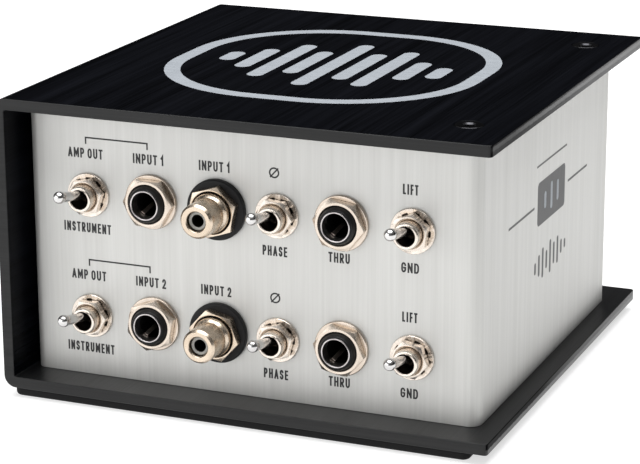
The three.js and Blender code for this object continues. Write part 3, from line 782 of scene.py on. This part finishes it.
# ------------------------------------------------------------------ phono sockets
def make_phono(n):
    c = middle(n + "_nut")
    at = (c.x, PANEL, c.z)
    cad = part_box(n + "_barrel")
    up = cad[1].z / MM > c.z + 8
    profile = [(2.52, -8), (2.52, 11.3, 0.05), (2.36, 11.5, 0.08), (2.42, 11.82, 0.12), (2.62, 12.0, 0.12), (3.55, 12.0, 0.15), (4.1, 11.4, 0.2), (4.15, 10.6, 0.4), (4.15, 6.1, 0.25), (4.02, 5.95, 0.12), (4.02, 5.55, 0.15),
               (4.3, 5.25, 0.3), (4.6, 4.9, 0.3), (4.75, 4.35, 0.2), (4.75, 3.9), (4.6, 3.6), (4.55, -2.1), (6.2, -2.1, 0.2), (6.2, -3.5, 0.2), (4.0, -3.5), (4.0, -8, 0.3), (2.52, -8)]
    barrel = lathe(n + "_turned", profile, at, MAT["nickel_tan"], seg=64, fillet=5)
    soften(barrel, 35)
    za, zb = (c.z + 4.9, cad[1].z / MM) if up else (cad[0].z / MM, c.z - 4.9)
    lug = box_piece("lug", (c.x - 1.3, PANEL + 2.4, za), (c.x + 1.3, PANEL + 3.2, zb), MAT["nickel"], 0.15, 1)
    piece = joined(n + "_barrel_turned", [barrel, lug])
    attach(piece, "root"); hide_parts(n + "_barrel")

    washer = lathe(n + "_black_washer", [(4.85, -1.4), (5.1, -1.4, 0.1), (5.1, 0.06), (7.3, 0.06, 0.1), (7.3, 1.22, 0.28), (7.05, 1.5, 0.2), (4.85, 1.5), (4.85, -1.4)], at, MAT["fibre"], seg=80, fillet=4)
    done(washer, "black_plastic", "root", n + "_insulating_washer", angle=40)

    nut = hex_nut(n + "_hex_nut", at, 11.0, 5.1, 1.53, 3.9, NUT_TURN[n], MAT["nickel_tan"], crown=0.99, slope=26, lip=0.12)
    done(nut, "nickel", "root", n + "_nut", angle=24, flat=True)

    # the insulator's bore is drawn near black, not cream: painted shade in the hole
    core = lathe(n + "_core", [(0, -11), (2.3, -11, 0.2), (2.3, 10.7, 0.1), (2.15, 10.95, 0.15), (1.8, 11.0, 0.15), (1.5, 10.8, 0.1), (1.5, 1.0), (0, 1.0)], at,
                 [MAT["cream"], MAT["socket"]], seg=48, fillet=4, mat_of=lambda r, d: 1 if r < 1.56 and d < 10.4 and d > 0.5 else 0)
    done(core, "cream_plastic", "root", n + "_centre_insulator", angle=40)

    sleeve = lathe(n + "_centre_contact", [(0.95, 1.1), (1.3, 1.1), (1.38, 3.5), (1.3, 5.0, 0.2), (1.1, 5.05, 0.1), (0.95, 4.6), (0.95, 1.1)], at, MAT["gold"], seg=24, fillet=3)
    done(sleeve, "nickel", "root", angle=40)


for n in PHONOS:
    make_phono(n)


# ------------------------------------------------------------------ rear output connectors
def rounded_rect(cx, cy, w, h, r, n=8):
    return arc(cx + w / 2 - r, cy + h / 2 - r, r, 0, 90, n) + arc(cx - w / 2 + r, cy + h / 2 - r, r, 90, 180, n) \
        + arc(cx - w / 2 + r, cy - h / 2 + r, r, 180, 270, n) + arc(cx + w / 2 - r, cy - h / 2 + r, r, 270, 360, n)


def make_output(i):
    n = f"output_connector_{i}"
    c = middle(n + "_shell")
    at = (c.x, REAR, c.z)
    flange = prism(n + "_flange", rounded_rect(c.x, c.z, 26, 31, 3), 1, REAR + 0.05, REAR + 2.0, MAT["satin"])
    bevel(flange, 0.45, 3, 40)
    screws = [(-9.5, 12.0), (9.5, -12.0)]
    tools = [lathe("cut", [(0, -1), (10.6, -1), (10.6, 4), (0, 4)], at, MAT["satin"], out=1, seg=64, fillet=0)]
    tools += [lathe("sink", [(0, -1), (1.6, -1), (1.6, 0.7), (2.9, 2.0), (2.9, 4), (0, 4)], (c.x + x, REAR, c.z + z), MAT["satin"], out=1, seg=32, fillet=0) for x, z in screws]
    boolean(flange, joined("tools", tools))
    soften(flange, 30)
    tube = lathe(n + "_tube", [(9.5, -20), (9.5, 2.9, 0.3), (9.9, 3.55, 0.25), (10.5, 3.6, 0.25), (10.8, 3.1, 0.3), (10.75, 2.0), (10.7, 0.1), (11.2, -0.1, 0.1), (11.2, -20, 0.3), (9.5, -20)],
                 at, MAT["satin"], out=1, seg=80, fillet=5)
    soften(tube, 35)
    piece = joined(n + "_metal_shell", [flange, tube])
    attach(piece, "root"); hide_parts(n + "_shell")
    insert = lathe(n + "_insulator", [(0, -21.4), (9.1, -21.4, 0.4), (9.1, -13.2, 0.4), (8.6, -13.0, 0.2), (7.6, -13.0, 0.1), (7.4, -13.4, 0.1), (6.9, -13.4, 0.1), (6.7, -13.0, 0.1), (0, -13.0)],
                   at, MAT["plastic"], out=1, seg=64, fillet=4)
    pins = []
    for x, z in ((-4.7, 1.9), (4.7, 1.9), (0, -4.3)):
        collar = lathe("collar", [(0, -13.4), (2.0, -13.4), (2.0, -12.9), (1.7, -12.6, 0.1), (1.25, -12.6), (0, -12.6)], (c.x + x, REAR, c.z + z), MAT["plastic"], out=1, seg=28, fillet=3)
        pins.append(collar)
    soften(insert, 35)
    insert = joined(n + "_insert_moulding", [insert] + [soften(p, 35) for p in pins])
    metal = []
    for x, z in ((-4.7, 1.9), (4.7, 1.9), (0, -4.3)):
        metal.append(soften(lathe("pin", [(0, -25), (0.9, -25, 0.3), (1.2, -24.4), (1.2, -0.2, 0.5), (0.75, 0.9, 0.4), (0, 1.2)], (c.x + x, REAR, c.z + z), MAT["gold"], out=1, seg=28, fillet=5), 35))
    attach(insert, "root"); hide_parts(n + "_insert")
    metal = joined(n + "_pins", metal)
    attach(metal, "root")
    for k, (x, z) in enumerate(screws):
        s = lathe(f"{n}_screw_{k + 1}", [(0, -4), (1.3, -4), (1.35, 0.85), (2.75, 1.92, 0.15), (2.5, 2.12, 0.2), (0, 2.3)], (c.x + x, REAR, c.z + z), MAT["screw"], out=1, seg=40, fillet=4)
        bars = []
        for w, h in ((2.6, 0.5), (0.5, 2.6)):
            bars.append(box_piece("slot", (c.x + x - w / 2, REAR + 1.2, c.z + z - h / 2), (c.x + x + w / 2, REAR + 4, c.z + z + h / 2), MAT["screw"], 0))
        for bar in bars:
            boolean(s, bar)
        done(s, "black_screw", "root", angle=35)


for i in (1, 2):
    make_output(i)


# ------------------------------------------------------------------ inside: board and transformers
def make_inside():
    lo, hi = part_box("circuit_board")
    lo, hi = lo / MM, hi / MM
    board = box_piece("board_blank", (lo.x, lo.y, lo.z), (hi.x, hi.y, hi.z), MAT["board"], 0.12, 1)
    soften(board)
    parts = [board]
    for k in range(9):
        x = -44 + k * 11
        for s, z in ((1, hi.z), (-1, lo.z)):
            y = hi.y - 4.5
            if k % 3 == 0:
                parts.append(soften(lathe("cap", [(0, 0), (2.4, 0, 0.2), (2.4, 5.2, 0.4), (2.0, 5.5, 0.2), (0, 5.5)], (x, y, z), MAT["plastic"], out=2 * s, seg=28, fillet=3)))
            else:
                a, b = (z, z + 1.6) if s > 0 else (z - 1.6, z)
                parts.append(box_piece("chip", (x - 1.8, y - 1.0, a), (x + 1.8, y + 1.0, b), MAT["steel"] if k % 2 else MAT["plastic"], 0.2, 2))
    o = joined("populated_board", parts)
    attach(o, "root"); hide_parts("circuit_board")
    for i in (1, 2):
        a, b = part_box(f"transformer_{i}")
        m = (a + b) / 2 / MM
        s = 1 if i == 1 else -1
        z = (a.z if s > 0 else b.z) / MM
        can = lathe(f"transformer_{i}_can", [(0, 0), (12.8, 0, 0.3), (12.8, 0.8, 0.2), (12.4, 1.1, 0.2), (12.4, 20.6, 1.4), (11.6, 22.6, 1.0), (9.4, 22.9, 0.4), (8.8, 22.5, 0.4), (0, 22.5)], (m.x, m.y, z), MAT["can"], out=2 * s, seg=72, fillet=5)
        done(can, "transformer_can", "root", f"transformer_{i}", angle=35)


make_inside()

# ------------------------------------------------------------------ printing
INK = 0.02


def ring_arc(cx, cy, rx, ry, a0, a1, n=9):
    return [(cx + rx * math.cos(rad(a0 + (a1 - a0) * i / n)), cy + ry * math.sin(rad(a0 + (a1 - a0) * i / n))) for i in range(n + 1)]


# plain stroke lettering: width, then centre lines in a unit box; a line marked True closes on itself
BOWL = [(0.05, 1), (0.55, 1)] + ring_arc(0.55, 0.725, 0.45, 0.275, 80, -80, 7) + [(0.55, 0.45), (0.05, 0.45)]
LETTERS = {
    "A": (1.1, [([(0, 0), (0.5, 1), (1, 0)], False), ([(0.2, 0.27), (0.8, 0.27)], False)]),
    "D": (1.0, [([(0, 0), (0, 1), (0.45, 1)] + ring_arc(0.45, 0.62, 0.55, 0.38, 80, 0, 6) + ring_arc(0.45, 0.38, 0.55, 0.38, 0, -80, 6) + [(0.45, 0)], True)]),
    "E": (0.72, [([(1, 1), (0, 1), (0, 0), (1, 0)], False), ([(0.05, 0.52), (0.9, 0.52)], False)]),
    "F": (0.72, [([(1, 1), (0, 1), (0, 0)], False), ([(0.05, 0.5), (0.85, 0.5)], False)]),
    "G": (1.0, [(ring_arc(0.5, 0.68, 0.5, 0.32, 18, 180) + ring_arc(0.5, 0.32, 0.5, 0.32, 180, 360) + [(1, 0.46), (0.6, 0.46)], False)]),
    "H": (1.0, [([(0, 0), (0, 1)], False), ([(1, 0), (1, 1)], False), ([(0.05, 0.5), (0.95, 0.5)], False)]),
    "I": (0.0, [([(0, 0), (0, 1)], False)]),
    "L": (0.7, [([(0, 1), (0, 0), (1, 0)], False)]),
    "M": (1.35, [([(0, 0), (0, 1), (0.5, 0.3), (1, 1), (1, 0)], False)]),
    "N": (1.05, [([(0, 0), (0, 1), (1, 0), (1, 1)], False)]),
    "O": (1.0, [(ring_arc(0.5, 0.68, 0.5, 0.32, 180, 0, 12) + ring_arc(0.5, 0.32, 0.5, 0.32, 0, -180, 12), True)]),
    "P": (0.9, [([(0, 0), (0, 1)], False), (BOWL, False)]),
    "R": (0.95, [([(0, 0), (0, 1)], False), (BOWL, False), ([(0.45, 0.45), (1, 0)], False)]),
    "S": (0.88, [(ring_arc(0.5, 0.75, 0.5, 0.25, 12, 265, 12) + ring_arc(0.5, 0.25, 0.5, 0.25, 85, -168, 12), False)]),
    "T": (0.9, [([(0, 1), (1, 1)], False), ([(0.5, 0.98), (0.5, 0)], False)]),
    "U": (1.0, [([(0, 1)] + ring_arc(0.5, 0.32, 0.5, 0.32, 180, 360, 12) + [(1, 1)], False)]),
    "1": (0.38, [([(0, 0.76), (1, 1), (1, 0)], False)]),
    "2": (0.9, [(ring_arc(0.5, 0.71, 0.5, 0.29, 168, -28, 10) + [(0, 0), (1, 0)], False)]),
}


def stroke(points, thick, closed, face, mat):
    """A line of even thickness with mitred corners and square ends, as a thin film of ink on a face."""
    P = [Vector(p) for p in points]
    P = [p for i, p in enumerate(P) if i == 0 or (p - P[i - 1]).length > 1e-5]
    if closed and (P[0] - P[-1]).length < 1e-5:
        P.pop()
    n = len(P)
    side = []
    for i in range(n):
        a = (P[i] - P[i - 1]).normalized() if i or closed else None
        b = (P[(i + 1) % n] - P[i]).normalized() if i < n - 1 or closed else None
        d0, d1 = a or b, b or a
        n0, n1 = Vector((-d0.y, d0.x)), Vector((-d1.y, d1.x))
        m = (n0 + n1) / max(0.03, 1 + n0.dot(n1)) * thick / 2
        shift = Vector((0, 0))
        if a is None:
            shift = -d1 * thick / 2
        if b is None:
            shift = d0 * thick / 2
        side.append((P[i] + m + shift, P[i] - m + shift))
    put = (lambda p, d: (p.x, PANEL - d, p.y)) if face == "front" else (lambda p, d: (RIGHT + d, p.x, p.y))
    verts, faces = [], []
    for l, r in side:
        verts += [put(l, INK), put(r, INK), put(l, 0), put(r, 0)]
    for i in range(n if closed else n - 1):
        a, b = 4 * i, 4 * ((i + 1) % n)
        faces += [[a, b, b + 1, a + 1], [a + 2, a + 3, b + 3, b + 2], [a, a + 2, b + 2, b], [a + 1, b + 1, b + 3, a + 3]]
    if not closed:
        e = 4 * (n - 1)
        faces += [[0, 1, 3, 2], [e, e + 2, e + 3, e + 1]]
    return object_from("stroke", verts, faces, mat)


def word_piece(word, width, height, centre, face, mat, thick=0.42, gap=0.33):
    """A word in plain stroke letters, fitted to a width and a cap height."""
    n = len(word.replace(" ", ""))
    spaces = word.count(" ")
    total = sum(LETTERS[c][0] for c in word if c != " ")
    unit = (width - n * thick - (n - 1) * gap - spaces * 0.55) / total
    x, y = centre[0] - width / 2, centre[1] - height / 2
    out = []
    for c in word:
        if c == " ":
            x += 0.55
            continue
        w, lines = LETTERS[c]
        w *= unit
        at = lambda q: (x + thick / 2 + q[0] * w, y + thick / 2 + q[1] * (height - thick))
        letter = None
        for line, closed in lines:
            piece = stroke([at(q) for q in line], thick, closed, face, mat)
            letter = boolean(letter, piece, "UNION") if letter else piece
        frame = [(x, y), (x + w + thick, y), (x + w + thick, y + height), (x, y + height)]
        if c in "AMNR2":
            box = prism("trim", frame, 1, PANEL - 1, PANEL + 1, mat) if face == "front" else prism("trim", frame, 0, RIGHT - 1, RIGHT + 1, mat)
            boolean(letter, box, "INTERSECT")
        out.append(letter)
        x += w + thick + gap
    return out


def film(outline, face, mat, name="film"):
    """A flat printed patch on a face, from an outline in that face's own two directions."""
    if face == "front":
        return prism(name, outline, 1, PANEL - INK, PANEL, mat)
    if face == "right":
        return prism(name, outline, 0, RIGHT, RIGHT + INK, mat)
    return prism(name, outline, 2, TOP, TOP + INK, mat)


def bar(x0, y0, x1, y1, face, mat):
    return film([(x0, y0), (x1, y0), (x1, y1), (x0, y1)], face, mat)


def make_legends():
    parts = []
    off = -0.7
    cols = {k: middle(f"{n}_nut").x + off for k, n in (("source", "source_switch_1"), ("input", "input_jack_1"), ("phono", "phono_input_1"),
                                                      ("phase", "phase_switch_1"), ("thru", "thru_jack_1"), ("ground", "ground_switch_1"))}
    h = 2.42
    for row, node in ((1, "source_switch_1_nut"), (2, "source_switch_2_nut")):
        z = middle(node).z
        up, dn = z + 10.1, z - 8.45
        for word, col, w, zz in (("AMP OUT", "source", 9.2, up), (f"INPUT {row}", "input", 7.9, up), ("INSTRUMENT", "source", 12.5, dn + 0.25), (f"INPUT {row}", "phono", 7.8, up),
                                 ("PHASE", "phase", 6.2, dn - 0.15), ("THRU", "thru", 5.3, dn), ("LIFT", "ground", 3.7, up - 0.6), ("GND", "ground", 4.3, dn - 0.4)):
            parts += word_piece(word, w, h, (cols[col], zz), "front", MAT["ink_black"])
        # phase sign: a ring with a stroke through it
        cx, n = cols["phase"], 28
        ro, ri = 1.3, 0.92
        ring = polar("sign", [lambda a: (ri, 0.0), lambda a: (ro, 0.0), lambda a: (ro, INK), lambda a: (ri, INK)], (cx, PANEL, up), MAT["ink_black"], seg=n)
        parts.append(boolean(ring, stroke([(cx - 0.92, up - 1.0), (cx + 0.92, up + 1.0)], 0.34, False, "front", MAT["ink_black"]), "UNION"))
        # bracket over the switch and the jack
        a, b, t = cols["source"], cols["input"], 0.38
        top = z + 14.1
        parts.append(bar(a, top - t, b, top, "front", MAT["ink_black"]))
        parts.append(bar(a, top - 1.75, a + t, top - t, "front", MAT["ink_black"]))
        parts.append(bar(b - t, top - 1.75, b, top - t, "front", MAT["ink_black"]))
    o = joined("panel_legends", parts)
    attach(o, "root")


make_legends()


def make_top_print():
    """A plain rounded frame with a row of level bars, in pale ink."""
    cx, cy = -0.6, 1.0
    w, h, r, t = 80, 80, 34, 4.0
    outer = rounded_rect(cx, cy, w, h, r, 16)
    inner = rounded_rect(cx, cy, w - 2 * t, h - 2 * t, r - t, 16)
    n = len(outer)
    verts = [(*p, z) for z in (TOP, TOP + INK) for p in outer] + [(*p, z) for z in (TOP, TOP + INK) for p in inner]
    faces = []
    for i in range(n):
        j = (i + 1) % n
        ob, ot, ib, it = 0, n, 2 * n, 3 * n
        faces += [[ot + i, ot + j, it + j, it + i], [ob + j, ob + i, ib + i, ib + j], [ob + i, ob + j, ot + j, ot + i], [ib + j, ib + i, it + i, it + j]]
    parts = [object_from("frame_print", verts, faces, MAT["ink_light"])]
    heights = [10, 22, 38, 26, 48, 30, 40, 20, 12]
    bw, gap = 4.2, 6.9
    for k, hh in enumerate(heights):
        x = cx + (k - 4) * gap
        parts.append(film(rounded_rect(x, cy, bw, hh, bw / 2 - 0.01, 8), "top", MAT["ink_light"]))
    o = joined("top_graphic", parts)
    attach(o, "root")


make_top_print()


def make_side_print():
    """A plain dark block with three light bars, between thin rules, over a short row of level bars."""
    y0 = CW_LO.y / MM
    cy, cz = y0 + 61.5, PD_HI.z / MM + 44.5
    ink = MAT["ink_grey"]
    parts = [film(rounded_rect(cy, cz, 22, 10.8, 1.2, 6), "right", ink)]
    parts += [bar(cy - 33, cz - 0.3, cy - 13.5, cz + 0.3, "right", ink), bar(cy + 13.5, cz - 0.3, cy + 30, cz + 0.3, "right", ink)]
    for k, hh in enumerate((3, 5.4, 7.6, 4.6, 8.4, 5.6, 7.0, 3.6, 2.4)):
        parts.append(film(rounded_rect(cy + (k - 4) * 3.0, cz - 15.5, 1.3, hh, 0.62, 5), "right", ink))
    parts.append(bar(cy - 12, cz + 9.4, cy + 12, cz + 9.9, "right", ink))
    o = joined("side_graphic", parts)
    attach(o, "root")
    light = [prism("lit", rounded_rect(cy + (k - 1) * 5.0, cz, 1.6, hh, 0.75, 6), 0, RIGHT + INK, RIGHT + 2 * INK, MAT["ink_light"]) for k, hh in enumerate((4.2, 6.8, 5.2))]
    p = joined("side_graphic_bars", light)
    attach(p, "root")


make_side_print()

# ------------------------------------------------------------------ stage, light, camera
def make_stage():
    m, nt, bsdf = new_material("stage")
    g = noise(nt, (6, 6, 6), 2, 0.5)
    nt.links.new(mix_colour(nt, g, (0.53, 0.53, 0.53), (0.55, 0.55, 0.55)), bsdf.inputs["Base Color"])
    bsdf.inputs["Roughness"].default_value = 0.9
    bsdf.inputs["Specular IOR Level"].default_value = 0.1
    bsdf.inputs["Emission Color"].default_value = (1, 1, 1, 1)
    bsdf.inputs["Emission Strength"].default_value = 0.66
    me = bpy.data.meshes.new("floor")
    s = 6.0
    me.from_pydata([(-s, -s, 0), (s, -s, 0), (s, s, 0), (-s, s, 0)], [], [(0, 1, 2, 3)])
    o = bpy.data.objects.new("floor", me)
    me.materials.append(m)
    bpy.context.scene.collection.objects.link(o)


make_stage()


def area(name, loc, target, size, power, colour=(1, 1, 1), shape="RECTANGLE", size_y=None):
    l = bpy.data.lights.new(name, "AREA")
    l.shape = shape
    l.size = size
    l.size_y = size_y or size
    l.energy = power
    l.color = colour
    o = bpy.data.objects.new(name, l)
    bpy.context.scene.collection.objects.link(o)
    o.location = loc
    o.rotation_euler = (Vector(target) - Vector(loc)).to_track_quat("-Z", "Y").to_euler()
    return o


area("key", (-1.0, -1.2, 0.42), (0, 0, 0.06), 2.2, 11.4, size_y=0.8)
area("side", (1.35, -0.35, 0.45), (0, 0, 0.03), 0.7, 0.1)
area("top", (0.0, -0.1, 1.5), (0, 0, 0.0), 1.6, 30)

w = bpy.data.worlds.new("studio")
w.use_nodes = True
wn = w.node_tree
bg = wn.nodes["Background"]
tc = wn.nodes.new("ShaderNodeTexCoord")
sep = wn.nodes.new("ShaderNodeSeparateXYZ")
ramp = wn.nodes.new("ShaderNodeValToRGB")
wn.links.new(tc.outputs["Generated"], sep.inputs[0])
wn.links.new(sep.outputs["Z"], ramp.inputs[0])
els = ramp.color_ramp.elements
els[0].position, els[0].color = 0.0, (0.02, 0.02, 0.021, 1)
els[1].position, els[1].color = 1.0, (0.95, 0.95, 0.95, 1)
e = els.new(0.42); e.color = (0.012, 0.012, 0.013, 1)
e = els.new(0.58); e.color = (0.28, 0.28, 0.28, 1)
e = els.new(0.82); e.color = (0.38, 0.38, 0.38, 1)
front = wn.nodes.new("ShaderNodeMapRange")
for k, v in (("From Min", -0.1), ("From Max", -0.8), ("To Min", 0.0), ("To Max", 0.1)):
    front.inputs[k].default_value = v
wn.links.new(sep.outputs["Y"], front.inputs["Value"])
both = wn.nodes.new("ShaderNodeVectorMath")
both.operation = "ADD"
wn.links.new(ramp.outputs["Color"], both.inputs[0])
wn.links.new(front.outputs["Result"], both.inputs[1])
beside = wn.nodes.new("ShaderNodeMapRange")
for k, v in (("From Min", 0.25), ("From Max", 0.85), ("To Min", 1.0), ("To Max", 0.5)):
    beside.inputs[k].default_value = v
wn.links.new(sep.outputs["X"], beside.inputs["Value"])
dim = wn.nodes.new("ShaderNodeVectorMath")
dim.operation = "MULTIPLY"
wn.links.new(both.outputs[0], dim.inputs[0])
wn.links.new(beside.outputs["Result"], dim.inputs[1])
wn.links.new(dim.outputs[0], bg.inputs["Color"])
bg.inputs["Strength"].default_value = 1.0
plain = wn.nodes.new("ShaderNodeBackground")
plain.inputs["Color"].default_value = (1, 1, 1, 1)
path = wn.nodes.new("ShaderNodeLightPath")
either = wn.nodes.new("ShaderNodeMixShader")
wn.links.new(path.outputs["Is Camera Ray"], either.inputs[0])
wn.links.new(bg.outputs[0], either.inputs[1])
wn.links.new(plain.outputs[0], either.inputs[2])
wn.links.new(either.outputs[0], [n for n in wn.nodes if n.type == "OUTPUT_WORLD"][0].inputs["Surface"])
bpy.context.scene.world = w
bpy.context.scene.view_settings.view_transform = "Standard"

AZ, EL, ROLL, F_PX = 0.3934646, 0.2874655, -0.0039715, 2425.5535
T = Vector((76.505318, 37.378804, 588.124637))
back = Vector((math.sin(AZ) * math.cos(EL), -math.cos(AZ) * math.cos(EL), math.sin(EL)))
right = Vector((math.cos(AZ), math.sin(AZ), 0))
up = back.cross(right)
c_, s_ = math.cos(ROLL), math.sin(ROLL)
row0, row1 = c_ * right + s_ * up, -s_ * right + c_ * up
R = Matrix((row0, row1, back))
loc = R.transposed() @ T
origin = Vector((CW_LO.x / MM, CW_LO.y / MM, CW_LO.z / MM))
cam_data = bpy.data.cameras.new("camera")
cam_data.sensor_width = 36
cam_data.lens = F_PX * 36 / 640
cam_data.clip_start = 0.01
cam = bpy.data.objects.new("camera", cam_data)
bpy.context.scene.collection.objects.link(cam)
m4 = R.transposed().to_4x4()
m4.translation = (loc + origin) * MM
cam.matrix_world = m4
bpy.context.scene.camera = cam
